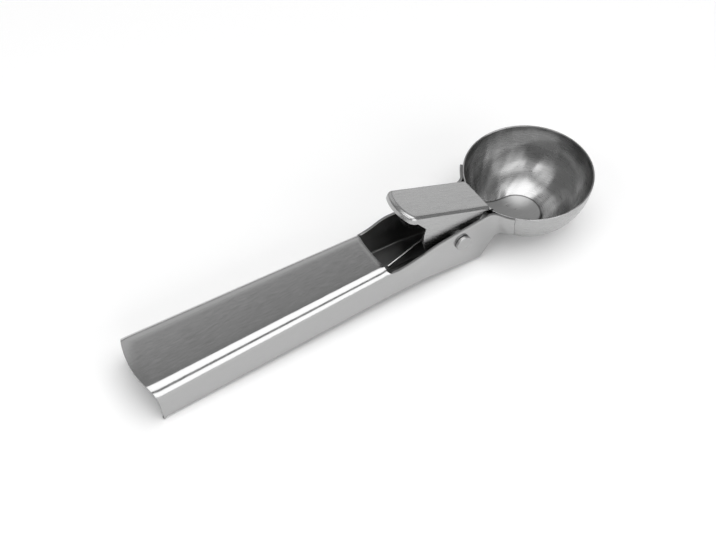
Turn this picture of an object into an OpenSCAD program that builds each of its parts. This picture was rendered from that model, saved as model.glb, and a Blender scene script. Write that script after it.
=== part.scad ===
/* [Bowl] */
// Outside diameter of the hemispherical bowl
bowl_d = 50; // [44:1:56]
// Thickness of the bowl wall
bowl_wall = 1; // [0.8:0.1:1.4]
// Depth of the notch in the rear of the rim that lets the tongue through
notch_depth = 3.5; // [2.5:0.25:4.5]
// Radius in the lower corners of the notch
notch_r = 1; // [0.5:0.25:1.5]

/* [Handle] */
// Thickness of the sheet that the handle is folded from
sheet = 1; // [0.8:0.1:1.2]
// From the bowl centre back to the rear end of the handle
handle_reach = 165.4; // [150:0.1:185]
// From the bowl centre back to the front edge of the handle top
opening_reach = 71.6; // [68:0.5:78]
// Outside width at the rear end
handle_rear_w = 30; // [27:0.5:33]
// Outside width at the opening
handle_front_w = 23; // [21.8:0.1:24]
// Height of the handle top above the rim, at the rear end
rear_rise = 2.7; // [1:0.1:5]
// Drop of the handle top below the rim, at the opening
front_drop = 0.8; // [0.2:0.1:1.6]
// Depth of the underside below the rim, at the rear end
rear_depth = 12.7; // [10:0.1:14]
// Depth of the underside below the rim, at the opening
front_depth = 16.5; // [15.5:0.1:17.3]
// Radius of the folded shoulder at the rear end
rear_shoulder_r = 5.3; // [4:0.1:6]
// Radius of the folded shoulder at the opening
front_shoulder_r = 4; // [3:0.1:4.6]
// Radius of the folds along the underside
under_r = 1.8; // [1.5:0.1:2.4]
// Width of the butt seam along the underside
seam_w = 0.3; // [0.2:0.1:0.6]
// Radius, seen from above, of the rounded rear end
end_arc_r = 41; // [30:0.5:60]
// Radius, seen from above, of the front edge of the handle top
opening_arc_r = 31; // [24:0.5:50]
// How far the underside stops short of the rear end
under_relief = 6.5; // [5:0.5:12]

/* [Neck] */
// From the bowl centre back to the widest place of the neck
neck_mid_reach = 54; // [50:0.5:58]
// Outside width at the widest place of the neck
neck_mid_w = 22.5; // [21.5:0.1:24]
// Depth of the underside below the rim, at the widest place of the neck
neck_mid_depth = 17.4; // [16.6:0.1:18.2]
// From the bowl centre back to the front end of the neck floor
neck_front_reach = 27.2; // [26.8:0.1:28.5]
// Outside width of the neck where it meets the bowl
neck_w = 20.8; // [20.3:0.1:22]
// Depth of the neck below the rim, at the front end of its floor
neck_depth = 22.9; // [21.5:0.1:23.4]
// From the bowl centre back to the heel, where the neck walls slope up to the arms
heel_reach = 29.6; // [29:0.1:30.6]
// Drop of the side walls below the rim, just in front of the handle top
wall_drop = 2.6; // [1.8:0.1:3.4]
// Radius in the corner where the handle top ends
opening_corner_r = 1.6; // [0.6:0.1:1.8]
// Slope of the front end of the neck walls
front_slope = 51.5; // [47:0.5:60]
// Radius of the bend that spreads the neck walls round the bowl
flare_r = 4; // [3:0.1:5]
// Height of the arms that hold the bowl
arm_depth = 12.5; // [10:0.1:14]
// Angle from the rear centre to the end of each arm
arm_angle = 41.5; // [36:0.5:50]
// Weld gap between the bowl and the arms
weld_gap = 0.05; // [0.03:0.01:0.1]

/* [Pivot] */
// From the bowl centre back to the pivot
pivot_reach = 38; // [37:0.1:39]
// Depth of the pivot below the rim
pivot_drop = 6.3; // [6:0.1:6.8]
// Diameter of the pivot rivet
rivet_d = 3.2; // [2.8:0.1:3.4]
// Diameter of the rivet heads
head_d = 6.4; // [5:0.1:7]
// Height of the rivet heads
head_h = 1.3; // [0.8:0.1:1.8]
// Radial gap between the rivet and what turns on it
running_gap = 0.05; // [0.03:0.01:0.08]
// Sideways gap on each side of a washer and of the bush
side_gap = 0.1; // [0.05:0.01:0.15]
// Outside diameter of the washers
washer_d = 7.5; // [6.5:0.1:9]
// Outside diameter of the bush
bush_d = 4.4; // [4.2:0.1:5]

/* [Thumb lever] */
// Thickness of the lever sheet
lever_sheet = 1; // [0.8:0.1:1.2]
// Outside width of the lever
lever_w = 17; // [16.6:0.1:17.4]
// Length of the lever top along its slope
lever_len = 39.3; // [37:0.1:41]
// Slope of the lever top
lever_tilt = 23.7; // [22:0.1:25]
// From the bowl centre back to the front edge of the lever
lever_front_reach = 24.2; // [23.8:0.1:25]
// Height of the front edge of the lever above the rim
lever_front_rise = 1.9; // [1.7:0.1:2.6]
// Outside radius of the fold round the lever top
lever_fold_r = 1.4; // [1.3:0.1:2]
// Radius, seen from above, of the rounded rear end of the lever
lever_end_r = 15.4; // [13:0.2:20]
// Radius of the two rear corners of the lever
lever_corner_r = 3; // [2.5:0.1:4]
// Depth of the lip along the rear end of the lever
lip_depth = 3.4; // [2.8:0.1:4.2]
// Radius of the rounded rear edge of the cheeks
cheek_rear_r = 16.8; // [16:0.1:17.4]
// Radius of the cheeks round the pivot
cheek_eye_r = 6.5; // [5.5:0.1:7.5]

/* [Tongue] */
// Thickness of the tongue sheet
tongue_sheet = 0.8; // [0.6:0.1:1]
// Gap between the tongue and the bowl
tongue_gap = 0.35; // [0.3:0.05:0.5]
// Width of the tongue at its rounded tip
tongue_tip_w = 18.3; // [16.5:0.1:20]
// Width of the tongue at the rear of the bowl
tongue_rear_w = 16; // [14:0.1:16.6]
// How far the tip reaches past the bowl centre
tongue_reach = 6.7; // [4:0.1:10]
// Width of the root that joins the tongue to the lever
root_w = 10; // [8:0.2:11]
// Length of the root along the underside of the lever
root_len = 11; // [8:0.5:14]

/* [Return spring] */
// Diameter of the spring wire
wire_d = 0.9; // [0.7:0.1:1.1]
// Gap between the coil and the bush
coil_gap = 0.1; // [0.05:0.05:0.2]
// Full turns in the coil
coil_turns = 4; // [3:1:5]
// Distance between two turns of the coil
coil_pitch = 1.2; // [1.15:0.05:1.4]
// From the bowl centre back to the foot of the lower leg
foot_reach = 63.3; // [60:0.1:65]
// From the front edge of the lever back to the tip of the upper leg
tip_reach = 25; // [20:0.5:30]
// Gap between the ends of the spring and what they press on
leg_gap = 0.15; // [0.1:0.05:0.3]

/* [Hidden] */
$fn = 96;
// Facets of the folds that blend along a taper
fold_fn = 32;
// Thickness of the end slices of a tapered length
slice = 0.01;
// How far a cutter runs past what it cuts
past = 5;
// Width that clears the whole part sideways
wide = 2 * bowl_d;

bowl_r = bowl_d / 2;
pivot = [-pivot_reach, -pivot_drop];
arm_r = bowl_r + weld_gap + sheet;

function lerp(a, b, t) = a + (b - a) * t;
function unit(v) = v / norm(v);
function angle_of(v) = atan2(v[1], v[0]);
function polar(r, a) = [r * cos(a), r * sin(a)];
function arc(centre, r, a, b, steps = 10) = [for (i = [0:steps]) centre + polar(r, lerp(a, b, i / steps))];

// Corner b of an outline, rounded to radius r between its neighbours a and c
function round_corner(a, b, c, r) =
    let (to_a = unit(a - b), to_c = unit(c - b), half = acos(to_a * to_c) / 2)
    let (centre = b + unit(to_a + to_c) * r / sin(half))
    let (from = angle_of(b + to_a * r / tan(half) - centre))
    let (turn = (angle_of(b + to_c * r / tan(half) - centre) - from + 540) % 360 - 180)
    arc(centre, r, from, from + turn, 8);

// Outline through corners [x, y, radius]
function rounded(corners) =
    let (n = len(corners), at = [for (c = corners) [c[0], c[1]]])
    [for (i = [0:n - 1]) each corners[i][2] == 0 ? [at[i]]
        : round_corner(at[(i + n - 1) % n], at[i], at[(i + 1) % n], corners[i][2])];

// Angle of the point where a line from p touches the circle round centre
function touch_angle(p, centre, r, side) = angle_of(p - centre) + side * acos(r / norm(p - centre));

// Cross-sections of the folded sheet: [x, half width, top, underside, shoulder radius]
function handle_section(x) =
    let (t = (x + handle_reach) / (handle_reach - opening_reach))
    [x, lerp(handle_rear_w, handle_front_w, t) / 2, lerp(rear_rise, -front_drop, t),
     -lerp(rear_depth, front_depth, t), lerp(rear_shoulder_r, front_shoulder_r, t)];

corner_half_w = handle_front_w / 2 - front_shoulder_r / 4;
opening_x = -opening_reach + opening_arc_r - sqrt(opening_arc_r ^ 2 - corner_half_w ^ 2);
// Square shoulders that stand above the rim are cut away with the opening
wall_stand = 2;
square_r = sheet + 0.2;
opening_section = handle_section(opening_x);
mid_section = [-neck_mid_reach, neck_mid_w / 2, wall_stand, -neck_mid_depth, square_r];
front_section = [-neck_front_reach, neck_w / 2, wall_stand, -neck_depth, square_r];

// Half width and underside of the neck, between its middle and its front end
function neck_t(reach) = (neck_mid_reach - reach) / (neck_mid_reach - neck_front_reach);
function neck_half_w(reach) = lerp(neck_mid_w, neck_w, neck_t(reach)) / 2;
function opening_floor(x) =
    let (t = (x - opening_x) / (-neck_mid_reach - opening_x))
    lerp(opening_section[3], -neck_mid_depth, t) + sheet;

module at_rest() {
    translate([-(bowl_r + rear_x) / 2, 0, bowl_r])
        rotate([0, -rest_pitch, 0])
            children();
}

heel_depth = lerp(neck_mid_depth, neck_depth, neck_t(heel_reach));

// The part rests on the bowl and on the rear edge of the handle's underside, or on its heel
side_rear_x = -handle_reach + end_arc_r - sqrt(end_arc_r ^ 2 - (handle_rear_w / 2 - under_r) ^ 2);
function pitch_on(foot) = asin(bowl_r / norm(foot)) - atan(foot[1] / foot[0]);
rest_pitch = min(
    pitch_on([side_rear_x, handle_section(side_rear_x)[3]]),
    pitch_on([-heel_reach, -heel_depth])
);
// Rear end of the part in its rest pose
rear_x = -handle_reach * cos(rest_pitch) - rear_rise * sin(rest_pitch);

module across(width) {
    rotate([90, 0, 0])
        linear_extrude(width, center = true)
            children();
}

module fold_slice(s, inset) {
    for (side = [-1, 1]) {
        translate([s[0], side * (s[1] - s[4]), s[2] - s[4]])
            rotate([0, 90, 0])
                cylinder(r = s[4] - inset, h = slice, $fn = fold_fn);
        translate([s[0], side * (s[1] - under_r), s[3] + under_r])
            rotate([0, 90, 0])
                cylinder(r = under_r - inset, h = slice, $fn = fold_fn);
    }
}

module folded_length(a, b, inset) {
    hull() {
        fold_slice(a, inset);
        fold_slice(b, inset);
    }
}

// The neck's cross-section where it runs straight on to the bowl
module neck_outline(inset) {
    half = neck_w / 2 - inset;
    bottom = inset - neck_depth;
    fold = under_r - inset;
    top = wall_stand - inset;
    polygon(rounded([[-half, top, 0], [-half, bottom, fold], [half, bottom, fold], [half, top, 0]]));
}

// Whole length of the folded sheet, from behind its rear end into the bowl
module folded_tube(rear_x, inset) {
    folded_length(handle_section(rear_x), opening_section, inset);
    folded_length(opening_section, mid_section, inset);
    folded_length(mid_section, front_section, inset);
    translate([slice - neck_front_reach, 0, 0])
        rotate([90, 0, 90])
            linear_extrude(neck_front_reach - bowl_r / 2)
                neck_outline(inset);
}

// Bend between a neck wall and the ball that it spreads round
module flare(half_w, ball_r, bend_r) {
    ring_r = sqrt((ball_r + bend_r) ^ 2 - (half_w + bend_r) ^ 2);
    ring = [ring_r, half_w + bend_r];
    touch = ring * ball_r / (ball_r + bend_r);
    root = half_w - sheet / 2;
    foot_r = sqrt(ball_r ^ 2 - half_w ^ 2) - sheet;
    for (side = [-1, 1])
        rotate([-side * 90, 0, 0])
            rotate_extrude()
                difference() {
                    polygon([[foot_r, root], [ring_r, root], ring, touch, touch * 0.97]);
                    translate(ring)
                        circle(bend_r);
                }
}

// Solid wedge whose skin becomes the arms
module arm_wedge() {
    rotate([0, 0, 180 - arm_angle])
        rotate_extrude(angle = 2 * arm_angle)
            intersection() {
                circle(arm_r);
                translate([0, -arm_depth - past])
                    square([2 * arm_r, arm_depth + past]);
            }
}

// Everything above the walls, from the opening forward
module above_walls() {
    across(wide)
        polygon(rounded([
            [opening_x, bowl_r, 0],
            [opening_x, -wall_drop, opening_corner_r],
            [-neck_front_reach, 0, 2 * bowl_r],
            [2 * bowl_r, 0, 0],
            [2 * bowl_r, bowl_r, 0]
        ]));
}

// The arc in the front edge of the handle top
module opening_arc() {
    intersection() {
        translate([-opening_reach + opening_arc_r, 0, -front_drop - 2 * sheet])
            cylinder(r = opening_arc_r, h = bowl_r);
        translate([opening_x - bowl_r, -wide / 2, -bowl_r])
            cube([bowl_r + slice, wide, 2 * bowl_r]);
    }
}

// Everything below and in front of the neck walls' sloping front end
module below_front() {
    slope_run = (heel_depth - arm_depth) / tan(front_slope);
    across(wide)
        polygon(rounded([
            [-2 * neck_mid_reach, -2 * bowl_r, 0],
            [-2 * neck_mid_reach, -heel_depth, 0],
            [-heel_reach, -heel_depth, 2.5 * sheet],
            [-heel_reach + slope_run, -arm_depth, flare_r],
            [2 * bowl_r, -arm_depth, 0],
            [2 * bowl_r, -2 * bowl_r, 0]
        ]));
}

// Everything behind the rounded rear end
module behind_end() {
    translate([-handle_reach - past, -wide / 2, -bowl_r])
        difference() {
            cube([past + end_arc_r / 2, wide, 2 * bowl_r]);
            translate([past + end_arc_r, wide / 2, -past])
                cylinder(r = end_arc_r, h = 2 * bowl_r + 2 * past);
        }
}

// The underside stops short of the rear end, with rounded inner corners
module under_notch() {
    half = handle_rear_w / 2 - under_r - sheet;
    corner = 2 * sheet;
    translate([0, 0, -rear_depth - past])
        linear_extrude(past + 2 * sheet + under_r / 2)
            polygon(rounded([
                [-handle_reach - past, -half, 0],
                [-handle_reach + under_relief, -half, corner],
                [-handle_reach + under_relief, half, corner],
                [-handle_reach - past, half, 0]
            ]));
}

module under_seam() {
    translate([-handle_reach - past, -seam_w / 2, -neck_depth - past])
        cube([handle_reach + past, seam_w, past + neck_depth - rear_depth + 2 * sheet]);
}

module pivot_bore(r) {
    translate([pivot[0], 0, pivot[1]])
        rotate([90, 0, 0])
            cylinder(r = r, h = wide, center = true);
}

module handle_body() at_rest() color("lightsteelblue") {
    difference() {
        union() {
            folded_tube(-handle_reach - past, 0);
            arm_wedge();
            intersection() {
                flare(neck_w / 2, arm_r, flare_r);
                translate([-2 * bowl_r, -wide / 2, -arm_depth - 2 * past])
                    cube([2 * bowl_r, wide, arm_depth + 3 * past]);
            }
        }
        folded_tube(-handle_reach - 2 * past, sheet);
        sphere(bowl_r + weld_gap);
        flare(neck_w / 2 - sheet, bowl_r + weld_gap, flare_r + sheet);
        above_walls();
        opening_arc();
        below_front();
        behind_end();
        under_notch();
        under_seam();
        pivot_bore(rivet_d / 2 + running_gap);
    }
}

module bowl() at_rest() color("gainsboro") {
    notch_half = lever_w / 2 + side_gap;
    difference() {
        sphere(bowl_r);
        sphere(bowl_r - bowl_wall);
        cylinder(r = bowl_d, h = bowl_d);
        translate([-bowl_r - past, 0, 0])
            rotate([90, 0, 90])
                linear_extrude(bowl_r)
                    polygon(rounded([
                        [-notch_half, past, 0],
                        [-notch_half, -notch_depth, notch_r],
                        [notch_half, -notch_depth, notch_r],
                        [notch_half, past, 0]
                    ]));
    }
}

module pivot_rivet() at_rest() color("silver") {
    head_r = head_d / 2;
    band = head_h / 3;
    dome_h = head_h - band;
    dome_r = (head_r ^ 2 + dome_h ^ 2) / (2 * dome_h);
    seat = neck_half_w(pivot_reach + head_r) + side_gap / 5;
    translate([pivot[0], 0, pivot[1]])
        rotate([90, 0, 0])
            rotate_extrude()
                for (side = [0, 1])
                    mirror([0, side]) {
                        square([rivet_d / 2, seat + band]);
                        translate([0, seat])
                            square([head_r, band]);
                        intersection() {
                            translate([0, seat + head_h - dome_r])
                                circle(dome_r);
                            translate([0, seat + band])
                                square([head_r, dome_h]);
                        }
                    }
}

// A washer fills the space between a cheek of the lever and the neck wall
module washer(side) {
    inner = lever_w / 2 + side_gap;
    thick = neck_half_w(pivot_reach - washer_d / 2) - sheet - side_gap - inner;
    translate([pivot[0], side * (inner + thick / 2), pivot[1]])
        rotate([90, 0, 0])
            difference() {
                cylinder(d = washer_d, h = thick, center = true);
                cylinder(r = rivet_d / 2 + running_gap, h = 2 * thick, center = true);
            }
}

module washer_left() at_rest() color("silver") washer(1);

module washer_right() at_rest() color("silver") washer(-1);

module spacer_bush() at_rest() color("silver") {
    length = lever_w - 2 * lever_sheet - 2 * side_gap;
    translate([pivot[0], 0, pivot[1]])
        rotate([90, 0, 0])
            difference() {
                cylinder(d = bush_d, h = length, center = true);
                cylinder(r = rivet_d / 2 + running_gap, h = 2 * length, center = true);
            }
}

// Frame of the lever top: the origin lies in its front edge and -X runs up its slope
module on_lever() {
    translate([-lever_front_reach, 0, lever_front_rise])
        rotate([0, lever_tilt, 0])
            children();
}

function from_lever(along, up) =
    [-lever_front_reach, lever_front_rise]
    + along * [cos(lever_tilt), -sin(lever_tilt)] + up * [sin(lever_tilt), cos(lever_tilt)];

// Cross-section of the lever sheet from a centre line out to the folded edge and down
module fold_profile(reach) {
    bend = [reach - lever_fold_r, -lever_fold_r];
    translate([0, -lever_sheet])
        square([bend[0], lever_sheet]);
    intersection() {
        translate(bend)
            difference() {
                circle(lever_fold_r);
                circle(lever_fold_r - lever_sheet);
            }
        translate(bend)
            square(lever_fold_r);
    }
    translate([reach - lever_sheet, -lever_len])
        square([lever_sheet, lever_len - lever_fold_r]);
}

// Left half of a deep cap from which the side view cuts the lever
module half_cap() {
    end_x = lever_end_r - lever_len;
    corner_y = lever_w / 2 - lever_corner_r;
    corner_x = end_x - sqrt((lever_end_r - lever_corner_r) ^ 2 - corner_y ^ 2);
    bearing = angle_of([corner_x - end_x, corner_y]);
    translate([corner_x, 0, 0])
        rotate([90, 0, 90])
            linear_extrude(-corner_x)
                fold_profile(lever_w / 2);
    translate([corner_x, corner_y, 0])
        rotate([0, 0, 90])
            rotate_extrude(angle = bearing - 90)
                fold_profile(lever_corner_r);
    translate([end_x, 0, 0])
        rotate([0, 0, bearing])
            rotate_extrude(angle = 180 - bearing)
                fold_profile(lever_end_r);
}

// Side view of the lever: top, lip and cheeks
module lever_side() {
    band = 1.2 * lever_sheet;
    front_root = from_lever(-2 * band, -band);
    rear_centre = pivot + [lever_sheet, 8.7];
    low = rear_centre + polar(cheek_rear_r, 235);
    eye_from = touch_angle(front_root, pivot, cheek_eye_r, -1);
    eye_turn = (touch_angle(low, pivot, cheek_eye_r, 1) - eye_from - 360) % 360;
    polygon(concat(
        [from_lever(lever_sheet, past), from_lever(lever_sheet, -band), front_root],
        arc(pivot, cheek_eye_r, eye_from, eye_from + eye_turn, 14),
        arc(rear_centre, cheek_rear_r, 235, 160, 16),
        [from_lever(5.3 * lever_sheet - lever_len, -lip_depth)],
        [for (up = [-lip_depth, past]) from_lever(-lever_len - past, up)]
    ));
}

module thumb_lever() at_rest() color("lightgray") {
    difference() {
        intersection() {
            on_lever() {
                half_cap();
                mirror([0, 1, 0])
                    half_cap();
            }
            across(wide)
                lever_side();
        }
        pivot_bore(rivet_d / 2 + running_gap);
    }
}

module tongue_outline() {
    tip_r = tongue_tip_w / 2;
    tip_x = tongue_reach - tip_r;
    translate([tip_x, 0])
        circle(tip_r);
    polygon([[-bowl_r, -tongue_rear_w / 2], [tip_x, -tip_r], [tip_x, tip_r], [-bowl_r, tongue_rear_w / 2]]);
}

module tongue_shell() {
    outer = bowl_r - bowl_wall - tongue_gap;
    difference() {
        sphere(outer);
        sphere(outer - tongue_sheet);
    }
}

module ejector_tongue() at_rest() color("gainsboro") {
    top = -bowl_wall;
    intersection() {
        tongue_shell();
        translate([0, 0, -bowl_r])
            linear_extrude(bowl_r + top)
                tongue_outline();
    }
    hull() {
        intersection() {
            tongue_shell();
            translate([-bowl_r, -root_w / 2, top - slice])
                cube([bowl_r, root_w, 2 * slice]);
        }
        on_lever()
            translate([-tongue_sheet, -root_w / 2, -lever_sheet - tongue_sheet])
                cube([slice, root_w, tongue_sheet]);
    }
    on_lever()
        translate([-root_len, -root_w / 2, -lever_sheet - tongue_sheet])
            cube([root_len - tongue_sheet + slice, root_w, tongue_sheet]);
}

// Round wire along a path that never runs straight across the part
module wire(path, r, sides = 8) {
    n = len(path);
    rings = [for (i = [0:n - 1])
        let (run = unit(path[min(i + 1, n - 1)] - path[max(i - 1, 0)]))
        let (u = unit(cross(run, [0, 1, 0])), v = cross(run, u))
        [for (k = [0:sides - 1]) path[i] + r * (cos(360 * k / sides) * u + sin(360 * k / sides) * v)]];
    polyhedron(
        points = [for (ring = rings) each ring],
        faces = concat(
            [[for (k = [0:sides - 1]) k]],
            [for (i = [0:n - 2], k = [0:sides - 1])
                [i * sides + k, (i + 1) * sides + k, (i + 1) * sides + (k + 1) % sides, i * sides + (k + 1) % sides]],
            [[for (k = [sides - 1:-1:0]) (n - 1) * sides + k]]
        )
    );
}

// Torsion spring: a leg down to the floor, the coil round the bush, and a leg up to the lever top
module return_spring() at_rest() color("dimgray") {
    wire_r = wire_d / 2;
    coil_r = bush_d / 2 + coil_gap + wire_r;
    foot = [-foot_reach, opening_floor(-foot_reach) + leg_gap + wire_r];
    tip = from_lever(-tip_reach, -lever_sheet - leg_gap - wire_r);
    start = touch_angle(foot, pivot, coil_r, 1);
    end = touch_angle(tip, pivot, coil_r, -1);
    turn = (end - start + 720) % 360 + 360 * coil_turns;
    half = coil_pitch * turn / 720;
    steps = round(turn / 18);
    wire(concat(
        [[foot[0], half / 3, foot[1]]],
        [for (i = [0:steps])
            let (p = pivot + polar(coil_r, start + turn * i / steps))
            [p[0], lerp(half, -half, i / steps), p[1]]],
        [[tip[0], -half / 3, tip[1]]]
    ), wire_r);
}

handle_body();
bowl();
pivot_rivet();
washer_left();
washer_right();
spacer_bush();
thumb_lever();
ejector_tongue();
return_spring();
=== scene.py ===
import math

import bmesh
import bpy
from mathutils import Matrix, Vector


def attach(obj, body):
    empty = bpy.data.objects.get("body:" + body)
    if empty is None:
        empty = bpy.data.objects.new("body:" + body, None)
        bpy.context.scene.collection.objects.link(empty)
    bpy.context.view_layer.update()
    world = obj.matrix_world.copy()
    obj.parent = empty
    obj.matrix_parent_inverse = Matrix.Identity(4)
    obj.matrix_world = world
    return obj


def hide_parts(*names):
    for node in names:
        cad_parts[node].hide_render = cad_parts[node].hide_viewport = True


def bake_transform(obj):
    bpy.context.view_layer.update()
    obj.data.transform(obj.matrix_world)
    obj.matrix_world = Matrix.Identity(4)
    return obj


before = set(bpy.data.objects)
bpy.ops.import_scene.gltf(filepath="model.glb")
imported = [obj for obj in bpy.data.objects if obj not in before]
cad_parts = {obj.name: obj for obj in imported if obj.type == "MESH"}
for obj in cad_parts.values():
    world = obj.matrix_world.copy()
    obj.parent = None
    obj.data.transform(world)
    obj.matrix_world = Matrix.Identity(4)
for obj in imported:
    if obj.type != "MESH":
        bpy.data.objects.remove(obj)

print("frame loaded")
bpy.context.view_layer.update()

# Lengths are in millimetres in the tool's own frame: origin at the centre of the bowl rim, +X from the
# handle towards the bowl, +Z out of the bowl. rest() lays the tool on the table and turns them into metres
stand = dict(pitch=4.303455, shift=70.068139, lift=25.0)
cosPitch = math.cos(math.radians(stand["pitch"]))
sinPitch = math.sin(math.radians(stand["pitch"]))


def lerp(a, b, t):
    return a + (b - a) * t


def smooth(t):
    t = min(max(t, 0.0), 1.0)
    return t * t * (3 - 2 * t)


def spread(a, b, count):
    return [lerp(a, b, i / count) for i in range(count + 1)]


def rest(x, y, z):
    return Vector((
        (x * cosPitch - z * sinPitch + stand["shift"]) / 1000,
        y / 1000,
        (x * sinPitch + z * cosPitch + stand["lift"]) / 1000,
    ))


# Steel, one function for every finish of the tool

def linear(hexColor):
    channels = [int(hexColor[i:i + 2], 16) / 255 for i in (0, 2, 4)]
    return tuple(c / 12.92 if c <= 0.04045 else ((c + 0.055) / 1.055) ** 2.4 for c in channels) + (1.0,)


# A link named i and a number goes to the socket of that number, any other to the socket of that name
def addNode(tree, kind, settings=None, **links):
    node = tree.nodes.new(kind)
    for name, value in (settings or {}).items():
        setattr(node, name, value)
    for name, value in links.items():
        socket = node.inputs[int(name[1:])] if name[0] == "i" and name[1:].isdigit() else node.inputs[name]
        if isinstance(value, bpy.types.NodeSocket):
            tree.links.new(value, socket)
        else:
            socket.default_value = value
    return node


# The four sockets of a range, from source to target
def ranged(source, target):
    return dict(zip(("From Min", "From Max", "To Min", "To Max"), source + target))


# Scales a tint by a value mapped from one range to another
def scaled(tree, tint, value, source, target, course="SMOOTHSTEP"):
    factor = addNode(tree, "ShaderNodeMapRange", {"interpolation_type": course}, Value=value,
                     **ranged(source, target))
    result = addNode(tree, "ShaderNodeVectorMath", {"operation": "SCALE"}, i0=tint, Scale=factor.outputs[0])
    return result.outputs[0]


# Sizes of the patterns in millimetres, where a pair is along the lay and across it. Real brushing is
# finer than a render can show, so its lines are drawn as coarse as they need to be seen
pattern = dict(line=0.27778, patch=10.526, speck=1.1111, ring=(29.412, 9.5238), swell=(9.0909, 22.222),
               lineDepth=0.03, speckDepth=0.02, gapShadeFrom=0.3, gapShadeTo=0.7)
# How far full brushing moves the roughness and the tint, how strong the two bumps are, which values of
# each noise count, where the rings lie and how much of the tint the painted gap shade keeps
grain = dict(rough=0.55, roughDrop=0.28, dark=0.12, light=0.06, lineBump=0.35, speckBump=0.4,
             lineSpan=(0.3, 0.7), ringSpan=(0.42, 0.6), ringPlace=(2.5, 8.4, 7.1), gapShadeTint=0.3)


# brush is the strength of the lines, stroke their length in millimetres, blotch the spread of roughness
# between patches and wave the depth of the swells in millimetres
def steel(name, color, rough, brush, blotch, stroke=14.286, aniso=0.0, wave=0.0, dull=0.0,
          paintedGapShade=None, onSurface=True):
    material = bpy.data.materials.new(name)
    material.use_nodes = True
    tree = material.node_tree
    tree.nodes.clear()
    place = addNode(tree, "ShaderNodeTexCoord").outputs["Object"]
    lay = place
    if onSurface:
        lay = addNode(tree, "ShaderNodeUVMap", {"uv_map": "length"}).outputs[0]
    lines = addNode(tree, "ShaderNodeMapping", None, Vector=lay,
                    Scale=(1000 / stroke, 1000 / pattern["line"], 1.0))
    fine = addNode(tree, "ShaderNodeTexNoise", None, Vector=lines.outputs[0], Scale=1.0, Detail=3.0,
                   Roughness=0.6)
    wide = addNode(tree, "ShaderNodeTexNoise", None, Vector=place, Scale=1000 / pattern["patch"], Detail=3.0)
    specks = addNode(tree, "ShaderNodeTexNoise", None, Vector=place, Scale=1000 / pattern["speck"],
                     Detail=2.0)

    brushed = addNode(tree, "ShaderNodeMath", {"operation": "MULTIPLY_ADD"}, i0=fine.outputs["Fac"],
                      i1=grain["rough"] * brush, i2=rough - grain["roughDrop"] * brush - blotch / 2)
    roughness = addNode(tree, "ShaderNodeMath", {"operation": "MULTIPLY_ADD", "use_clamp": True},
                        i0=wide.outputs["Fac"], i1=blotch, i2=brushed.outputs[0])

    tint = scaled(tree, linear(color)[:3], fine.outputs["Fac"], grain["lineSpan"],
                  (1.0 - grain["dark"] * brush, 1.0 + grain["light"] * brush), "LINEAR")
    if dull:
        alongRing, acrossRing = pattern["ring"]
        rings = addNode(tree, "ShaderNodeMapping", None, Vector=lay, Location=grain["ringPlace"],
                        Scale=(1000 / alongRing, 1000 / acrossRing, 1.0))
        bands = addNode(tree, "ShaderNodeTexNoise", None, Vector=rings.outputs[0], Scale=1.0, Detail=1.5)
        tint = scaled(tree, tint, bands.outputs["Fac"], grain["ringSpan"], (1.0, 1.0 - dull))
    # Painted shade: the tint darkens near an outline, standing in for the shadow in a gap
    if paintedGapShade:
        tint = scaled(tree, tint, paintedGapShade(tree, lay),
                      (pattern["gapShadeFrom"] / 1000, pattern["gapShadeTo"] / 1000), (grain["gapShadeTint"], 1.0))

    lineBump = addNode(tree, "ShaderNodeBump", None, Height=fine.outputs["Fac"],
                       Strength=grain["lineBump"] * brush, Distance=pattern["lineDepth"] / 1000)
    bump = addNode(tree, "ShaderNodeBump", None, Height=specks.outputs["Fac"], Strength=grain["speckBump"],
                   Distance=pattern["speckDepth"] / 1000, Normal=lineBump.outputs[0])
    if wave:
        alongSwell, acrossSwell = pattern["swell"]
        broad = addNode(tree, "ShaderNodeMapping", None, Vector=lay,
                        Scale=(1000 / alongSwell, 1000 / acrossSwell, 1.0))
        swells = addNode(tree, "ShaderNodeTexNoise", None, Vector=broad.outputs[0], Scale=1.0, Detail=1.0)
        bump = addNode(tree, "ShaderNodeBump", None, Height=swells.outputs["Fac"], Strength=1.0,
                       Distance=wave / 1000, Normal=bump.outputs[0])

    surface = addNode(tree, "ShaderNodeBsdfPrincipled", None, Metallic=1.0, Roughness=roughness.outputs[0],
                      Normal=bump.outputs[0], **{"Base Color": tint})
    if aniso:
        turned = addNode(tree, "ShaderNodeTangent", {"direction_type": "UV_MAP", "uv_map": "length"})
        surface.inputs["Anisotropic"].default_value = aniso
        surface.inputs["Anisotropic Rotation"].default_value = 0.25
        tree.links.new(turned.outputs[0], surface.inputs["Tangent"])
    addNode(tree, "ShaderNodeOutputMaterial", None, Surface=surface.outputs[0])
    return material


# Meshes, shared by every piece

def meshData(name, mesh):
    data = bpy.data.meshes.new(name)
    mesh.to_mesh(data)
    mesh.free()
    return data


def turnOutwards(mesh, inside):
    bmesh.ops.recalc_face_normals(mesh, faces=mesh.faces)
    if sum(f.calc_area() * f.normal.dot(f.calc_center_median() - inside) for f in mesh.faces) < 0:
        bmesh.ops.reverse_faces(mesh, faces=mesh.faces)


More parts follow.
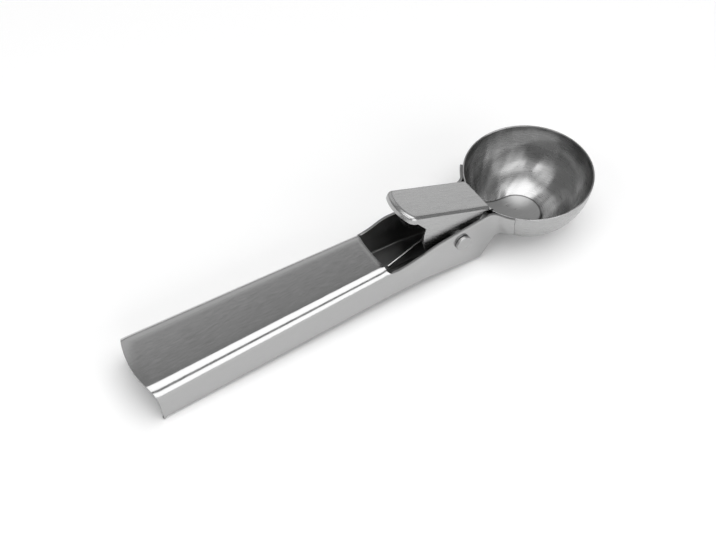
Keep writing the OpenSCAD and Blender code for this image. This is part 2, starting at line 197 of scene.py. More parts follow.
# A sheet piece starts as a flat grid. place(i, j) lays each corner on the outer face of the piece and
# ends with the corner's place on the flat sheet, which the lines of the finish follow, or is None where
# the sheet is cut away
def sheet(name, across, along, place, inside):
    mesh = bmesh.new()
    bmesh.ops.create_grid(mesh, x_segments=across - 1, y_segments=along - 1, size=1.0)
    layer = mesh.loops.layers.uv.new("length")
    flat, spare = {}, []
    for vert in mesh.verts:
        spot = place(round((vert.co.y + 1) / 2 * (along - 1)), round((vert.co.x + 1) / 2 * (across - 1)))
        if spot is None:
            spare.append(vert)
            continue
        vert.co = rest(*spot[:3])
        flat[vert] = (spot[3] / 1000, spot[4] / 1000)
    bmesh.ops.delete(mesh, geom=spare, context="VERTS")
    for face in mesh.faces:
        for loop in face.loops:
            loop[layer].uv = flat[loop.vert]
    bmesh.ops.mirror(mesh, geom=mesh.verts[:] + mesh.edges[:] + mesh.faces[:], axis="Y", merge_dist=1e-6)
    for face in mesh.faces:
        if face.calc_center_median().y < 0:
            for loop in face.loops:
                loop[layer].uv.y *= -1
    bmesh.ops.remove_doubles(mesh, verts=mesh.verts, dist=1e-6)
    bmesh.ops.dissolve_degenerate(mesh, dist=1e-7, edges=mesh.edges)
    turnOutwards(mesh, rest(*inside))
    return meshData(name, mesh)


# Gives a shell its thickness inwards and rounds its edges, both in millimetres. The inner material
# covers the inside and the cut edges
def dress(name, data, material, thickness=0.0, edge=0.0, segments=2, inner=None):
    piece = bpy.data.objects.new(name, data)
    data.materials.append(material)
    bpy.context.scene.collection.objects.link(piece)
    if thickness:
        shell = piece.modifiers.new("shell", "SOLIDIFY")
        shell.thickness = thickness / 1000
        shell.offset = -1.0
        shell.use_even_offset = True
        if inner:
            data.materials.append(inner)
            shell.material_offset = 1
            shell.material_offset_rim = 1
    if edge:
        bevel = piece.modifiers.new("edge", "BEVEL")
        bevel.width = edge / 1000
        bevel.segments = segments
        bevel.limit_method = "ANGLE"
        bevel.angle_limit = math.radians(38)
    weights = piece.modifiers.new("weights", "WEIGHTED_NORMAL")
    weights.keep_sharp = True
    weights.weight = 80
    graph = bpy.context.evaluated_depsgraph_get()
    final = bpy.data.meshes.new_from_object(piece.evaluated_get(graph), depsgraph=graph)
    piece.modifiers.clear()
    piece.data = final
    final.shade_smooth()
    return piece


# Handle and neck, one folded sheet. Halves, tops and floors are those of its outer face. A lay is where
# a part of it starts on the flat sheet, grade the rise of the neck's top edge per millimetre, slope the
# angle of its heel in degrees, and sweep and settle the lengths over which a change eases in

handle = dict(sheet=1.0, edge=0.14, rear=-165.4, rearArc=41.0, opening=-71.2, openingHalf=8.8,
              openingArc=80.0, rearHalf=15.0, rearTop=2.7, rearFloor=-12.7, rearShoulder=5.3,
              frontHalf=11.5, frontTop=-0.8, frontFloor=-16.5, frontShoulder=4.0, fold=1.8, seam=0.03,
              relief=6.5, reliefHalf=13.2, reliefCorner=2.0, wallLay=20.0, shoulderLay=24.0)
neck = dict(mid=-54.0, midHalf=11.25, midFloor=-17.4, front=-27.2, half=10.4, floor=-22.9, roof=2.0,
            shoulder=1.2, drop=3.1, grade=0.042, sweep=10.0, corner=2.1, settle=9.0, bulge=0.7,
            bulgeEnd=-47.0, bulgeLow=-10.0, bulgeBand=8.0, heel=-29.6, heelRadius=2.5, slope=51.5,
            flare=4.0)
arms = dict(radius=26.05, bottom=-12.5, angle=41.5, blend=0.023, blendFrom=0.8, blendLow=2.5,
            blendBand=2.5)

# Polished sheet mirrors softly, with faint lines along the handle
handleSteel = steel("polished stainless sheet", "afafaf", 0.18, 0.5, 0.04, stroke=4.5455)
# The inside and the sheared edges are left as rolled, which keeps them dark and soft
millSteel = steel("mill finish stainless", "888888", 0.34, 0.5, 0.06, stroke=9.0909)

openX = handle["opening"] + handle["openingArc"] - math.sqrt(
    handle["openingArc"] ** 2 - handle["openingHalf"] ** 2)
slopeTan = math.tan(math.radians(neck["slope"]))
floorGrade = (neck["floor"] - neck["midFloor"]) / (neck["front"] - neck["mid"])
heelZ = neck["midFloor"] + floorGrade * (neck["heel"] - neck["mid"])
bendX = neck["heel"] - neck["heelRadius"] * math.tan(math.radians(neck["slope"] / 2))
bendZ = heelZ + neck["heelRadius"]
bendDrop = neck["heelRadius"] + floorGrade * (neck["heel"] - bendX)
footX = bendX + (bendDrop * floorGrade + math.sqrt(
    (1 + floorGrade ** 2) * neck["heelRadius"] ** 2 - bendDrop ** 2)) / (1 + floorGrade ** 2)
foldTopX = neck["heel"] + handle["fold"] / (slopeTan - floorGrade)
flareRing = math.sqrt((arms["radius"] + neck["flare"]) ** 2 - (neck["half"] + neck["flare"]) ** 2)
flareTouch = flareRing * arms["radius"] / (arms["radius"] + neck["flare"])


def handleSection(x):
    t = (x - handle["rear"]) / (handle["opening"] - handle["rear"])
    return (
        lerp(handle["rearHalf"], handle["frontHalf"], t),
        lerp(handle["rearTop"], handle["frontTop"], t),
        lerp(handle["rearFloor"], handle["frontFloor"], t),
        lerp(handle["rearShoulder"], handle["frontShoulder"], t),
    )


# Half width, roof, floor and shoulder radius at x
def section(x):
    if x <= openX:
        return handleSection(x)
    middle = (neck["midHalf"], neck["roof"], neck["midFloor"], neck["shoulder"])
    if x <= neck["mid"]:
        t = (x - openX) / (neck["mid"] - openX)
        return tuple(lerp(a, b, t) for a, b in zip(handleSection(openX), middle))
    front = (neck["half"], neck["roof"], neck["floor"], neck["shoulder"])
    t = min((x - neck["mid"]) / (neck["front"] - neck["mid"]), 1.0)
    return tuple(lerp(a, b, t) for a, b in zip(middle, front))


def wallTop(x):
    if x >= neck["front"]:
        return 0.0
    start = openX + neck["corner"]
    rise = (x - neck["front"]) * neck["grade"]
    if x >= start:
        return lerp(-neck["drop"], rise, smooth((x - start - neck["corner"]) / neck["sweep"]))
    centre = neck["corner"] - neck["drop"]
    return centre - math.sqrt(max(neck["corner"] ** 2 - (start - x) ** 2, 0.0))


def wallBottom(x):
    if x <= foldTopX:
        return section(x)[2] + handle["fold"]
    knee = neck["flare"] * math.tan(math.radians(neck["slope"] / 2))
    cornerX = neck["heel"] + (arms["bottom"] - heelZ) / slopeTan
    if x <= cornerX - knee * math.cos(math.radians(neck["slope"])):
        return heelZ + (x - neck["heel"]) * slopeTan
    if x >= cornerX + knee:
        return arms["bottom"]
    return arms["bottom"] - neck["flare"] + math.sqrt(neck["flare"] ** 2 - (x - cornerX - knee) ** 2)


# Where the heel of the neck reaches a rise above its floor, found by closing in on it
def heelX(rise):
    x = footX
    for _ in range(12):
        z = section(x)[2] + rise
        if z >= bendZ - neck["heelRadius"] * math.cos(math.radians(neck["slope"])):
            x = neck["heel"] + (z - heelZ) / slopeTan
        else:
            x = bendX + math.sqrt(max(neck["heelRadius"] ** 2 - (z - bendZ) ** 2, 0.0))
    return x


# Half width of the walls where they flare out and run round the bowl
def skinHalf(x, z, half):
    reach = math.hypot(x, z)
    if reach >= flareRing or x < neck["front"]:
        return half
    if reach > flareTouch:
        return neck["half"] + neck["flare"] - math.sqrt(neck["flare"] ** 2 - (flareRing - reach) ** 2)
    return math.sqrt(arms["radius"] ** 2 - reach ** 2)


# A share of the way up a wall that may bend into its shoulder
def wallPoint(x, share, top):
    half, roof, floor, shoulder = section(x)
    start = floor + handle["fold"]
    centre = roof - shoulder
    bend = math.asin(min(max((top - centre) / shoulder, 0.0), 1.0))
    straight = min(top, centre) - start
    along = share * (straight + shoulder * bend)
    if along <= straight:
        return half, start + along
    angle = (along - straight) / shoulder
    return half - shoulder + shoulder * math.cos(angle), centre + shoulder * math.sin(angle)


def bulge(x, z):
    t = min(max((x - openX) / (neck["bulgeEnd"] - openX), 0.0), 1.0)
    return neck["bulge"] * math.sin(math.pi * t) ** 2 * smooth((z - neck["bulgeLow"]) / neck["bulgeBand"])


def rearX(y):
    return handle["rear"] + handle["rearArc"] - math.sqrt(handle["rearArc"] ** 2 - y * y)


def openingX(y):
    if y >= handle["openingHalf"]:
        return openX
    return handle["opening"] + handle["openingArc"] - math.sqrt(handle["openingArc"] ** 2 - y * y)


def reliefX(y):
    bend = y - (handle["reliefHalf"] - handle["reliefCorner"])
    start = handle["rear"] + handle["relief"] - handle["reliefCorner"]
    if bend <= 0:
        return start + handle["reliefCorner"]
    return start + math.sqrt(max(handle["reliefCorner"] ** 2 - bend ** 2, 0.0))


# Stations run from the rear of the handle to the ends of the arms, closer together where the form
# turns, and lines run from the seam under the handle round to the middle of its top
def buildHandle():
    reliefEnd = handle["rear"] + handle["relief"]
    reliefStart = reliefEnd - handle["reliefCorner"]
    reliefOut = reliefEnd + 2
    reliefSteps = 3
    tube = [reliefStart - 1.2, reliefStart, reliefStart + 1.2, reliefEnd + 0.2, reliefOut]
    tube += spread(reliefOut + 4.9, handle["opening"] - 8.8, 12)
    tube += [handle["opening"] - 4.8, handle["opening"] - 2, openX]
    throat = [openX + neck["corner"] * (1 - math.cos(math.radians(a))) for a in (18, 36, 54, 72, 90)]
    throat += spread(openX + neck["corner"] + 0.5, neck["mid"], 12) + spread(neck["mid"], footX, 18)[1:]
    heel = spread(footX, foldTopX, 7)[1:]
    fanSteps = 26
    stations = tube + throat + heel
    tubeEnd = len(tube) - 1
    throatEnd = tubeEnd + len(throat)
    heelEnd = len(stations) - 1

    floorShares = [0.0, 0.3, 0.6, 0.78, 0.84, 0.89, 0.92, 0.9355, 0.967, 1.0]
    foldSteps, straightSteps, bendSteps, shoulderSteps, roofSteps = 7, 6, 11, 3, 6
    wallSteps = straightSteps + bendSteps
    foldLine = len(floorShares) - 1
    wallLine = foldLine + foldSteps
    shoulderLine = wallLine + wallSteps
    roofLine = shoulderLine + shoulderSteps
    lines = roofLine + roofSteps + 1

    # The side walls end part of the way round the shoulder, where the opening cuts it
    _, openRoof, _, openShoulder = section(openX)
    cutAngle = math.asin((wallTop(openX) - openRoof + openShoulder) / openShoulder)

    def tubeShare(x, k):
        _, roof, floor, shoulder = section(x)
        flat = roof - shoulder - floor - handle["fold"]
        curved = shoulder * cutAngle
        length = flat * min(k / straightSteps, 1.0) + curved * max(k - straightSteps, 0) / bendSteps
        return length / (flat + curved)

    def floorSpot(i, j, x):
        if i > heelEnd or (i == 0 and j < foldLine):
            return None
        if i > throatEnd:
            x = footX
        half = section(x)[0]
        y = handle["seam"] + (half - handle["fold"] - handle["seam"]) * floorShares[j]
        if i == 0:
            x, y = rearX(half), half
        elif j < foldLine and i <= reliefSteps:
            x = lerp(reliefX(y), reliefOut, (i - 1) / reliefSteps)
        return x, y, section(x)[2], x, y

    def foldSpot(i, j, x):
        if i > heelEnd:
            return None
        angle = math.radians(90 * (j - foldLine) / foldSteps)
        rise = handle["fold"] * (1 - math.cos(angle))
        if i > throatEnd:
            x = lerp(footX, heelX(rise), (i - throatEnd) / len(heel))
        half, _, floor, _ = section(x)
        y = half - handle["fold"] * (1 - math.sin(angle))
        if i == 0:
            x, y = rearX(half), half
        return x, y, floor + rise, x, half + handle["fold"] * angle

    def tubeWallSpot(i, k, x):
        _, roof, _, shoulder = section(x)
        y, z = wallPoint(x, tubeShare(x, k), roof - shoulder + shoulder * math.sin(cutAngle))
        if i == 0:
            x = rearX(y)
        return x, y, z, x, handle["wallLay"] + z

    def neckWallSpot(k, x):
        share = lerp(tubeShare(openX, k), k / wallSteps, smooth((x - openX) / neck["settle"]))
        y, z = wallPoint(x, share, wallTop(x))
        if x > neck["mid"]:
            z = lerp(wallBottom(x), wallTop(x), share)
            y = skinHalf(x, z, section(x)[0])
        return x, y + bulge(x, z), z, x, handle["wallLay"] + z

    # The ends of the arms are drawn in low down, to blend into the bowl
    def armSpot(i, k):
        rise, share = k / wallSteps, (i - heelEnd) / fanSteps
        endZ = lerp(arms["bottom"], 0.0, rise)
        endX = -math.sqrt(arms["radius"] ** 2 - endZ ** 2) * math.cos(math.radians(arms["angle"]))
        x = lerp(foldTopX, endX, share)
        z = lerp(wallBottom(x), 0.0, rise)
        y = skinHalf(x, z, section(x)[0])
        late = smooth((share - arms["blendFrom"]) / (1 - arms["blendFrom"]))
        sink = 1 - arms["blend"] * late * smooth((-z - arms["blendLow"]) / arms["blendBand"])
        return x * sink, y * sink, z * sink, x + max(y - neck["half"], 0.0), handle["wallLay"] + z

    def roofSpot(i, j, x):
        if i > tubeEnd:
            return None
        half, roof, _, shoulder = section(x)
        if j <= roofLine:
            angle = lerp(cutAngle, math.pi / 2, (j - shoulderLine) / shoulderSteps)
            y = half - shoulder + shoulder * math.cos(angle)
            if i == 0:
                x = rearX(y)
            z = roof - shoulder + shoulder * math.sin(angle)
            return x, y, z, x, handle["shoulderLay"] + shoulder * angle
        y = (half - shoulder) * (1 - (j - roofLine) / roofSteps)
        if i == 0:
            x = rearX(y)
        if i == tubeEnd:
            x = openingX(y)
        return x, y, section(x)[1], x, y

    def spot(i, j):
        inArm = i > heelEnd
        x = stations[min(i, heelEnd)]
        if j <= foldLine:
            return floorSpot(i, j, x)
        if j < wallLine or (j == wallLine and not inArm):
            return foldSpot(i, j, x)
        if j > shoulderLine:
            return roofSpot(i, j, x)
        if inArm:
            return armSpot(i, j - wallLine)
        if i > tubeEnd:
            return neckWallSpot(j - wallLine, x)
        return tubeWallSpot(i, j - wallLine, x)

    data = sheet("handle_skin", lines, len(stations) + fanSteps, spot, (-110, 0, -6))
    return dress("handle_skin", data, handleSteel, handle["sheet"], handle["edge"], inner=millSteel)


handleSkin = buildHandle()
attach(handleSkin, "handle")
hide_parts("handle_body")
print("handle made", len(handleSkin.data.polygons))


# Bowl, a spun cup with a notch for the tongue

bowlShape = dict(radius=25.0, wall=0.6, edge=0.2, notchHalf=8.6, notchDepth=3.5)

# The satin outside mirrors wide and soft, drawn out round the bowl and wavering a little
bowlSteel = steel("satin spun stainless", "afafaf", 0.27, 0.6, 0.1, stroke=7.1429, aniso=0.4, wave=0.8)
# Spinning leaves rings on the inside, which show as dull bands between bright ones
ringSteel = steel("ringed spun stainless", "b7b7b7", 0.3, 0.6, 0.1, stroke=7.1429, aniso=0.4, wave=0.8,
                  dull=0.45)


def buildBowl():
    mesh = bmesh.new()
    radius = bowlShape["radius"] / 1000
    half, depth = bowlShape["notchHalf"], bowlShape["notchDepth"]
    bmesh.ops.create_uvsphere(mesh, u_segments=240, v_segments=120, radius=radius)

    def cut(faces, place, normal, drop=False):
        geom = faces + list({e for f in faces for e in f.edges}) + list({v for f in faces for v in f.verts})
        bmesh.ops.bisect_plane(mesh, geom=geom, plane_co=Vector(place) / 1000, plane_no=normal,
                               clear_outer=drop)

    def nearNotch(margin):
        return [f for f in mesh.faces if (c := f.calc_center_median() * 1000).x < 0
                and abs(c.y) < half + margin and c.z > -depth - margin]

    cut(mesh.faces[:], (0, 0, 0), (0, 0, 1), True)
    cut(nearNotch(2), (0, half, 0), (0, 1, 0))
    cut(nearNotch(2), (0, -half, 0), (0, 1, 0))
    cut(nearNotch(2), (0, 0, -depth), (0, 0, 1))
    bmesh.ops.delete(mesh, geom=nearNotch(0), context="FACES")
    bmesh.ops.remove_doubles(mesh, verts=mesh.verts, dist=1e-6)

    # Laid out by the length round the axis and the length down the wall, so that the finish runs in rings
    layer = mesh.loops.layers.uv.new("length")
    for face in mesh.faces:
        middle = math.atan2(face.calc_center_median().y, face.calc_center_median().x)
        for loop in face.loops:
            co = loop.vert.co
            angle = math.atan2(co.y, co.x) if co.xy.length > 1e-6 else middle
            angle = middle + math.remainder(angle - middle, math.tau)
            loop[layer].uv = (angle * co.xy.length, math.asin(min(-co.z / radius, 1.0)) * radius)
    for vert in mesh.verts:
        vert.co = rest(*(vert.co * 1000))
    turnOutwards(mesh, rest(0, 0, 0))
    return dress("bowl_shell", meshData("bowl_shell", mesh), bowlSteel, bowlShape["wall"],
                 bowlShape["edge"], 3, inner=ringSteel)


bowlShell = buildBowl()
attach(bowlShell, "handle")
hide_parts("bowl")
print("bowl made", len(bowlShell.data.polygons))


# Thumb lever, a plate folded down at its sides and end, which turns on the rivet

pivot = dict(x=-38.0, z=-6.3, rivet=1.6, seatGap=0.02, head=3.2, headHeight=1.3, rim=0.25, rimEnd=0.35,
             crownFrom=0.42, crown=0.985, crownStart=0.08, crownSide=0.22, crownTop=0.35)
lever = dict(sheet=1.0, edge=0.13, half=8.5, length=39.3, tilt=23.7, front=-24.2, rise=1.9, fold=1.4,
             endArc=15.4, corner=3.0, lip=2.7, lipStart=5.3, rearArc=16.8, rearRise=8.7, rearFrom=235,
             rearTo=160, eye=6.5, cheekLay=2.0)

# Brushed sheet draws its reflections out along clear lines
leverSteel = steel("brushed stainless sheet", "afafaf", 0.27, 0.8, 0.06, stroke=9.0909)

tilt = math.radians(lever["tilt"])


def fromLever(along, y, up):
    return (
        lever["front"] + along * math.cos(tilt) + up * math.sin(tilt),
        y,
        lever["rise"] - along * math.sin(tilt) + up * math.cos(tilt),
    )


def toLever(x, z):
    dx, dz = x - lever["front"], z - lever["rise"]
    return dx * math.cos(tilt) - dz * math.sin(tilt), dx * math.sin(tilt) + dz * math.cos(tilt)


def onArc(along, up, radius, angle):
    return along + radius * math.cos(angle), up + radius * math.sin(angle)


# A cheek is round about the rivet and rises to the lip in a wider arc, with a straight edge between
eyeAlong, eyeUp = toLever(pivot["x"], pivot["z"])
rearAlong, rearUp = toLever(pivot["x"] + lever["sheet"], pivot["z"] + lever["rearRise"])
lowAngle = math.radians(lever["rearFrom"]) + tilt
highAngle = math.radians(lever["rearTo"]) + tilt
lowPoint = onArc(rearAlong, rearUp, lever["rearArc"], lowAngle)
rearPoint = onArc(rearAlong, rearUp, lever["rearArc"], highAngle)
lowReach = math.hypot(lowPoint[0] - eyeAlong, lowPoint[1] - eyeUp)
eyeAngle = math.atan2(lowPoint[1] - eyeUp, lowPoint[0] - eyeAlong) + math.acos(lever["eye"] / lowReach)
eyePoint = onArc(eyeAlong, eyeUp, lever["eye"], eyeAngle)
eyeFront = eyeAlong + lever["eye"]
lipStart = lever["lipStart"] - lever["length"]


def cheekBottom(along):
    if along >= eyePoint[0]:
        return eyeUp - math.sqrt(max(lever["eye"] ** 2 - (along - eyeAlong) ** 2, 0.0))
    if along >= lowPoint[0]:
        return lerp(eyePoint[1], lowPoint[1], (along - eyePoint[0]) / (lowPoint[0] - eyePoint[0]))
    if along >= rearPoint[0]:
        return rearUp - math.sqrt(max(lever["rearArc"] ** 2 - (along - rearAlong) ** 2, 0.0))
    if along >= lipStart:
        return lerp(rearPoint[1], -lever["lip"], (along - rearPoint[0]) / (lipStart - rearPoint[0]))
    return -lever["lip"]


# Stations run down a side, round the corner and along the curved end
def buildLever():
    endX = lever["endArc"] - lever["length"]
    cornerY = lever["half"] - lever["corner"]
    cornerX = endX - math.sqrt((lever["endArc"] - lever["corner"]) ** 2 - cornerY ** 2)
    bearing = math.atan2(cornerY, cornerX - endX)
    sides = [0.0, -0.5, -1.6, eyeFront]
    sides += [eyeAlong + lever["eye"] * math.cos(math.radians(a)) for a in (10, 22, 34, 46, 58, 70, 80, 90)]
    sides += spread(eyeAlong - 0.7, lowPoint[0], 5)
    sides += [onArc(rearAlong, rearUp, lever["rearArc"], a)[0] for a in spread(lowAngle, highAngle, 16)[1:]]
    sides += spread(rearPoint[0], lipStart, 4)[1:]
    stations = [("side", s) for s in sorted(sides, reverse=True) if s > cornerX]
    stations += [("corner", a) for a in spread(math.pi / 2, bearing, 12)]
    stations += [("end", a) for a in spread(bearing, math.pi, 16)[1:]]
    plateSteps, foldSteps, dropSteps = 6, 8, 5

    def outline(kind, value, inset):
        if kind == "side":
            return value, lever["half"] - inset
        if kind == "corner":
            return onArc(cornerX, cornerY, lever["corner"] - inset, value)
        return onArc(endX, 0.0, lever["endArc"] - inset, value)

    def spot(i, j):
        kind, value = stations[i]
        inner = outline(kind, value, lever["fold"])
        if j <= plateSteps:
            y = inner[1] * j / plateSteps
            return fromLever(inner[0], y, 0.0) + (inner[0], y)
        if j <= plateSteps + foldSteps:
            angle = math.radians(90 * (j - plateSteps) / foldSteps)
            x, y = outline(kind, value, lever["fold"] * (1 - math.sin(angle)))
            up = lever["fold"] * (math.cos(angle) - 1)
            return fromLever(x, y, up) + (inner[0], inner[1] + lever["fold"] * angle)
        if kind == "side" and value > eyeFront + 0.01:
            return None
        x, y = outline(kind, value, 0.0)
        low = cheekBottom(x) if kind == "side" or x > lipStart else -lever["lip"]
        up = lerp(-lever["fold"], low, (j - plateSteps - foldSteps) / dropSteps)
        return fromLever(x, y, up) + (x, y + lever["cheekLay"] - up)

    data = sheet("lever_shell", plateSteps + foldSteps + dropSteps + 1, len(stations), spot,
                 fromLever(-20, 0, -5))
    return dress("lever_shell", data, leverSteel, lever["sheet"], lever["edge"])


leverShell = buildLever()
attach(leverShell, "lever")
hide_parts("thumb_lever")
print("lever made", len(leverShell.data.polygons))


# Ejector tongue, dished to the bowl and welded under the lever

tongue = dict(sheet=0.8, edge=0.38, radius=23.65, rear=-23.0, rearHalf=8.0, tip=6.7, tipHalf=9.15,
              rootHalf=5.0, rootLength=11.0, bend=2.2, bendReach=2.3, dishDepth=3.0, dishRise=2.2,
              dishLean=0.32, dishSettle=8.0)
tipX = tongue["tip"] - tongue["tipHalf"]


# Distance in metres from the tongue's outline, measured in plan, which places the painted gap shade
def tongueMargin(tree, lay):
    plan = addNode(tree, "ShaderNodeSeparateXYZ", None, Vector=lay)
    half = addNode(tree, "ShaderNodeMapRange", {"interpolation_type": "SMOOTHSTEP"}, Value=plan.outputs[0],
                   **ranged((tongue["rear"] / 1000, tipX / 1000),
                            (tongue["rearHalf"] / 1000, tongue["tipHalf"] / 1000)))
    ahead = addNode(tree, "ShaderNodeMath", {"operation": "SUBTRACT"}, i0=plan.outputs[0], i1=tipX / 1000)
    past = addNode(tree, "ShaderNodeMath", {"operation": "MAXIMUM"}, i0=ahead.outputs[0], i1=0.0)
    spoke = addNode(tree, "ShaderNodeCombineXYZ", None, X=past.outputs[0], Y=plan.outputs[1])
    reach = addNode(tree, "ShaderNodeVectorMath", {"operation": "LENGTH"}, i0=spoke.outputs[0])
    margin = addNode(tree, "ShaderNodeMath", {"operation": "SUBTRACT"},
                     i0=half.outputs[0], i1=reach.outputs["Value"])
    return margin.outputs[0]


# Rolled strip is an even matt grey, with painted shade: a dark line along its outline standing in for the
# shadow in the gap against the bowl
stripSteel = steel("matt rolled stainless strip", "a6a6a6", 0.4, 1.0, 0.1, stroke=6.25,
                   paintedGapShade=tongueMargin)


# Rows run from the weld under the lever, through the bend and down the dish to the round tip
def buildTongue():
    radius, depth = tongue["radius"], tongue["dishDepth"]
    under = -lever["sheet"] - tongue["sheet"]
    laneSteps, tipSteps = 14, 14
    dishX = -math.sqrt(radius * radius - depth * depth)
    course = [fromLever(-tongue["bend"], 0, under), fromLever(tongue["bendReach"] - tongue["bend"], 0, under),
              (dishX - tongue["dishLean"], 0, tongue["dishRise"] - depth), (dishX, 0, -depth)]
    rows = []
    for along in spread(-tongue["rootLength"], -tongue["bend"], 6):
        x, _, z = fromLever(along, 0, under)
        rows.append((x, z, tongue["rootHalf"], 0.0))
    for t in spread(0.0, 1.0, 10)[1:]:
        weights = ((1 - t) ** 3, 3 * t * (1 - t) ** 2, 3 * t * t * (1 - t), t ** 3)
        x = sum(w * p[0] for w, p in zip(weights, course))
        z = sum(w * p[2] for w, p in zip(weights, course))
        rows.append((x, z, lerp(tongue["rootHalf"], tongue["rearHalf"], smooth((t - 0.25) / 0.5)), smooth(t)))
    for angle in spread(math.asin(depth / radius), math.acos(-tipX / radius), 30)[1:]:
        x = -radius * math.cos(angle)
        widening = smooth((x - tongue["rear"]) / (tipX - tongue["rear"]))
        rows.append((x, None, lerp(tongue["rearHalf"], tongue["tipHalf"], widening), 1.0))

    def inDish(x, y):
        return x, y, -math.sqrt(radius * radius - x * x - y * y), x, y

    def spot(i, j):
        lane = math.radians(90 * j / laneSteps)
        if i >= len(rows):
            sweep = math.sin(math.radians(90 * (i - len(rows) + 1) / tipSteps))
            x = tipX + math.cos(lane) * tongue["tipHalf"] * sweep
            return inDish(x, math.sin(lane) * tongue["tipHalf"])
        x, z, half, dish = rows[i]
        y = math.sin(lane) * half
        if z is None:
            settled = smooth((x - tongue["rear"]) / tongue["dishSettle"])
            return inDish(x * lerp(math.sqrt(1 - y * y / radius / radius), 1.0, settled), y)
        drop = min(z, 0.0)
        shift = math.sqrt(radius * radius - drop * drop) - math.sqrt(radius * radius - drop * drop - y * y)
        return x + dish * shift, y, z, x - z, y

    data = sheet("tongue_shell", laneSteps + 1, len(rows) + tipSteps, spot, (0, 0, 6))
    return dress("tongue_shell", data, stripSteel, tongue["sheet"], tongue["edge"], 3)


tongueShell = buildTongue()
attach(tongueShell, "lever")
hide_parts("ejector_tongue")
print("tongue made", len(tongueShell.data.polygons))


# Pivot rivet, spun from half its profile

# Tumbling rounds the surface off, so the heads shine softly and without a hard edge
rivetSteel = steel("tumbled stainless", "acacac", 0.36, 0.1, 0.08)


def buildRivet():
    ahead = (pivot["x"] - pivot["head"] - neck["mid"]) / (neck["front"] - neck["mid"])
    seat = lerp(neck["midHalf"], neck["half"], ahead) + pivot["seatGap"]
    rim = pivot["rim"]
    points = [(pivot["rivet"], 0.0), (pivot["rivet"], seat), (pivot["head"] - rim, seat)]
    points += [onArc(pivot["head"] - rim, seat + rim, rim, a)
               for a in spread(-math.pi / 2, pivot["rimEnd"], 5)[1:]]
    for t in spread(pivot["crownStart"], 1.0, 12):
        angle = t * math.pi / 2
        points.append((pivot["head"] * pivot["crown"] * math.cos(angle) ** pivot["crownSide"],
                       lerp(seat + pivot["crownFrom"], seat + pivot["headHeight"],
                            math.sin(angle) ** pivot["crownTop"])))
    mesh = bmesh.new()
    chain = [mesh.verts.new((out / 1000, 0.0, up / 1000)) for out, up in points]
    chain += [mesh.edges.new(pair) for pair in zip(chain, chain[1:])]
    bmesh.ops.spin(mesh, geom=chain, cent=(0, 0, 0), axis=(0, 0, 1), angle=math.tau, steps=72,
                   use_merge=True, use_duplicate=False)
    bmesh.ops.mirror(mesh, geom=mesh.verts[:] + mesh.edges[:] + mesh.faces[:], axis="Z", merge_dist=1e-6)
    bmesh.ops.remove_doubles(mesh, verts=mesh.verts, dist=1e-6)
    layer = mesh.loops.layers.uv.new("length")
    for face in mesh.faces:
        for loop in face.loops:
            loop[layer].uv = loop.vert.co.xy
    turnOutwards(mesh, Vector((0, 0, 0)))
    place = Matrix.Translation(rest(pivot["x"], 0, pivot["z"])) @ Matrix.Rotation(math.radians(90), 4, "X")
    bmesh.ops.transform(mesh, matrix=place, verts=mesh.verts)
    return dress("rivet_turned", meshData("rivet_turned", mesh), rivetSteel)


rivetTurned = buildRivet()
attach(rivetTurned, "handle")
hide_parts("pivot_rivet")
print("rivet made", len(rivetTurned.data.polygons))


# Return spring, a round wire that runs from the neck floor round its coil to the lever

# wire and coil are radii
spring = dict(wire=0.45, coil=2.75, pitch=1.2, turns=4, foot=-63.3, tip=25.0, gap=0.15)

# Drawn wire is bright, with a thin streak along each turn
wireSteel = steel("drawn spring wire", "bcbcbc", 0.2, 0.1, 0.02, onSurface=False)


def buildSpring():
    radius, wire = spring["coil"], spring["wire"]
    ahead = (spring["foot"] - openX) / (neck["mid"] - openX)
    floor = lerp(section(openX)[2], neck["midFloor"], ahead) + handle["sheet"]
    foot = (spring["foot"], floor + spring["gap"] + wire)
    endX, _, endZ = fromLever(-spring["tip"], 0, -lever["sheet"] - spring["gap"] - wire)
    centre = (pivot["x"], pivot["z"])

    # Where a leg from this point touches the coil
    def touch(point, side):
        return math.atan2(point[1] - centre[1], point[0] - centre[0]) + side * math.acos(
            radius / math.dist(point, centre))

    start = touch(foot, 1)
    turn = (touch((endX, endZ), -1) - start) % math.tau + math.tau * spring["turns"]
    half = spring["pitch"] * turn / (2 * math.tau)
    coilStep = math.radians(7.5)
    coil = []
    for t in spread(0.0, 1.0, round(turn / coilStep)):
        x, z = onArc(*centre, radius, start + turn * t)
        coil.append(Vector((x, lerp(half, -half, t), z)))
    legSteps = spread(0.0, 1.0, 24)
    path = [Vector((foot[0], half / 3, foot[1])).lerp(coil[0], t) for t in legSteps[:-1]]
    path += coil
    path += [coil[-1].lerp(Vector((endX, -half / 3, endZ)), t) for t in legSteps[1:]]
    curve = bpy.data.curves.new("spring_path", "CURVE")
    curve.dimensions = "3D"
    curve.bevel_depth = wire / 1000
    curve.bevel_resolution = 6
    curve.use_fill_caps = True
    line = curve.splines.new("POLY")
    line.points.add(len(path) - 1)
    for point, at in zip(line.points, path):
        point.co = rest(*at).to_4d()
    wound = bpy.data.objects.new("spring_path", curve)
    bpy.context.scene.collection.objects.link(wound)
    graph = bpy.context.evaluated_depsgraph_get()
    data = bpy.data.meshes.new_from_object(wound.evaluated_get(graph), depsgraph=graph)
    bpy.data.objects.remove(wound)
    return dress("spring_wire", data, wireSteel)


springWire = buildSpring()
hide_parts("return_spring")
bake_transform(springWire)
print("spring made", len(springWire.data.polygons))


# Washers and bush, which keep their own meshes and have their corners broken

# Turned parts have an even soft shine, plain on every side, as they have no unwrapped surface
turnedSteel = steel("turned stainless", "b8b8b8", 0.25, 0.1, 0.05, onSurface=False)

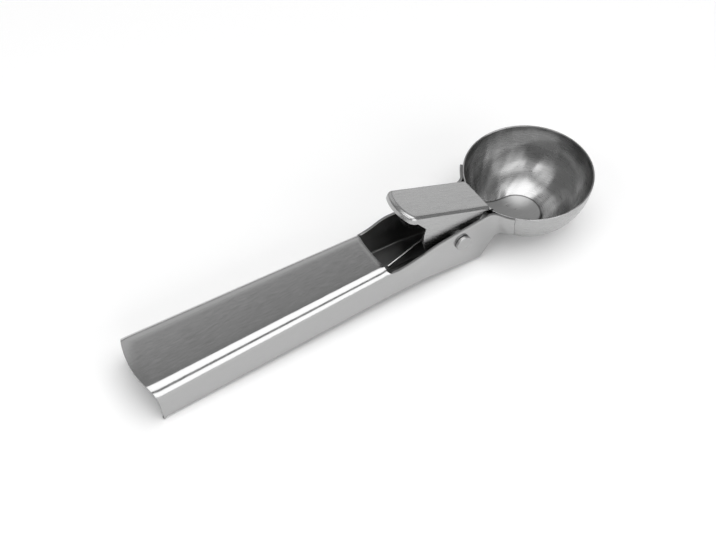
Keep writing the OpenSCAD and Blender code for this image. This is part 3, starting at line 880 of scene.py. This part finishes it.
for name in ("washer_left", "washer_right", "spacer_bush"):
    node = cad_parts[name]
    node.data.materials.clear()
    node.data.materials.append(turnedSteel)
    bevel = node.modifiers.new("edge", "BEVEL")
    bevel.width = 0.0001
    bevel.segments = 2
    bevel.limit_method = "ANGLE"
print("washers and bush dressed")


# Studio, in metres

studio = dict(floorHalf=3.0, floorGap=0.0002, panelDistance=1.0, panelHeight=0.015, sky=0.33)


def buildFloor():
    mesh = bmesh.new()
    bmesh.ops.create_grid(mesh, x_segments=1, y_segments=1, size=studio["floorHalf"])
    data = meshData("floor", mesh)
    floor = bpy.data.objects.new("floor", data)
    floor.location = (0, 0, -studio["floorGap"])
    bpy.context.scene.collection.objects.link(floor)
    # Matt card has no shine and throws the light back up at the tool
    card = bpy.data.materials.new("matt white card")
    card.use_nodes = True
    shader = card.node_tree.nodes["Principled BSDF"]
    shader.inputs["Base Color"].default_value = linear("fafafa")
    shader.inputs["Roughness"].default_value = 0.9
    data.materials.append(card)


# A panel runs along the tool from rear to front and covers the degrees from one angle to the other,
# counted from straight up towards the near side
def softbox(name, fromAngle, toAngle, rear, front, glow):
    lean = math.radians((fromAngle + toAngle) / 2)
    distance = studio["panelDistance"]
    data = bpy.data.lights.new(name, "AREA")
    data.shape = "RECTANGLE"
    data.size = front - rear
    data.size_y = 2 * distance * math.tan(math.radians(toAngle - fromAngle) / 2)
    data.energy = glow * math.pi * data.size * data.size_y
    light = bpy.data.objects.new(name, data)
    light.location = ((rear + front) / 2, -math.sin(lean) * distance,
                      math.cos(lean) * distance + studio["panelHeight"])
    light.rotation_euler = (lean, 0, 0)
    bpy.context.scene.collection.objects.link(light)


buildFloor()
# The overhead and low panels leave a dark gap between them, seen as a line along the shoulder
softbox("overhead panel", -16, 34, -0.5, 0.62, 2.1)
softbox("low panel", 52, 88, -0.5, 0.62, 2.1)
softbox("far panel", -80, -37.5, -0.5, 0.62, 0.5)
softbox("front panel", -80, -50, 0.9, 2.0, 0.75)
softbox("rear panel", -16, 33, -2.0, -0.8, 2.1)

world = bpy.data.worlds.new("studio")
bpy.context.scene.world = world
world.use_nodes = True
sky = world.node_tree.nodes["Background"]
sky.inputs["Color"].default_value = linear("ffffff")
sky.inputs["Strength"].default_value = studio["sky"]

camera = bpy.data.cameras.new("camera")
camera.lens = 52.84
camera.sensor_width = 36.0
camera.clip_start = 0.01
viewer = bpy.data.objects.new("camera", camera)
seenFrom = Vector((-0.14497, -0.20804, 0.30138))
right = Vector((0.84874, -0.52807, 0.02813))
up = Vector((0.38422, 0.65232, 0.65334))
turn = Matrix((right, up, right.cross(up))).transposed()
viewer.matrix_world = Matrix.Translation(seenFrom) @ turn.to_4x4()
bpy.context.scene.collection.objects.link(viewer)
bpy.context.scene.camera = viewer
bpy.context.scene.view_settings.view_transform = "Standard"
print("studio made")
